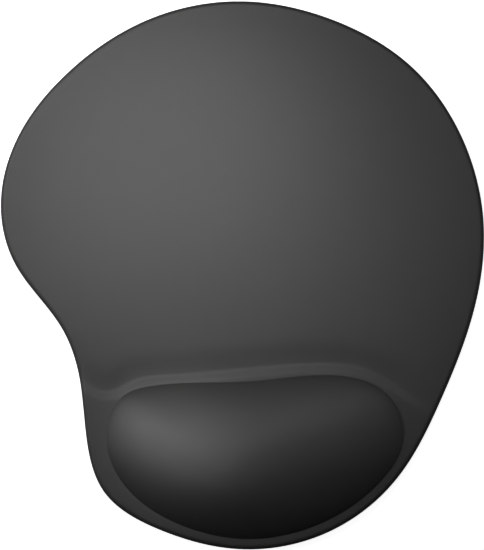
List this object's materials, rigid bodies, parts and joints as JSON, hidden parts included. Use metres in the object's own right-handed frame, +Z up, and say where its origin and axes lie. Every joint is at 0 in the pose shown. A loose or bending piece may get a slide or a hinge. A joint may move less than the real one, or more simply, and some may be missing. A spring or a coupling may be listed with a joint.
{
  "type": "gel wrist rest mouse mat",
  "caption": "Soft mouse mat with a gel wrist rest formed into its front edge: a knitted cover over film, foam and gel, on a non-slip base.",
  "frame": {"origin": "on the desk, under the middle of the outline", "axes": "+X to the user's right, +Y away from the user towards the mousing surface, +Z up"},
  "size_m": [0.2064, 0.234, 0.02],
  "materials": {
    "knitted_cover": "matte",
    "black_film": "satin",
    "gel": "gloss",
    "clear_film": "gloss",
    "foam": "matte",
    "grip_rubber": "matte"
  },
  "bodies": {
    "root": {"cover_fabric": "knitted_cover", "backing_film": "black_film", "gel_pad": "gel", "gel_seal_film": "clear_film", "foam_body": "foam", "grip_base": "grip_rubber"}
  },
  "joints": []
}
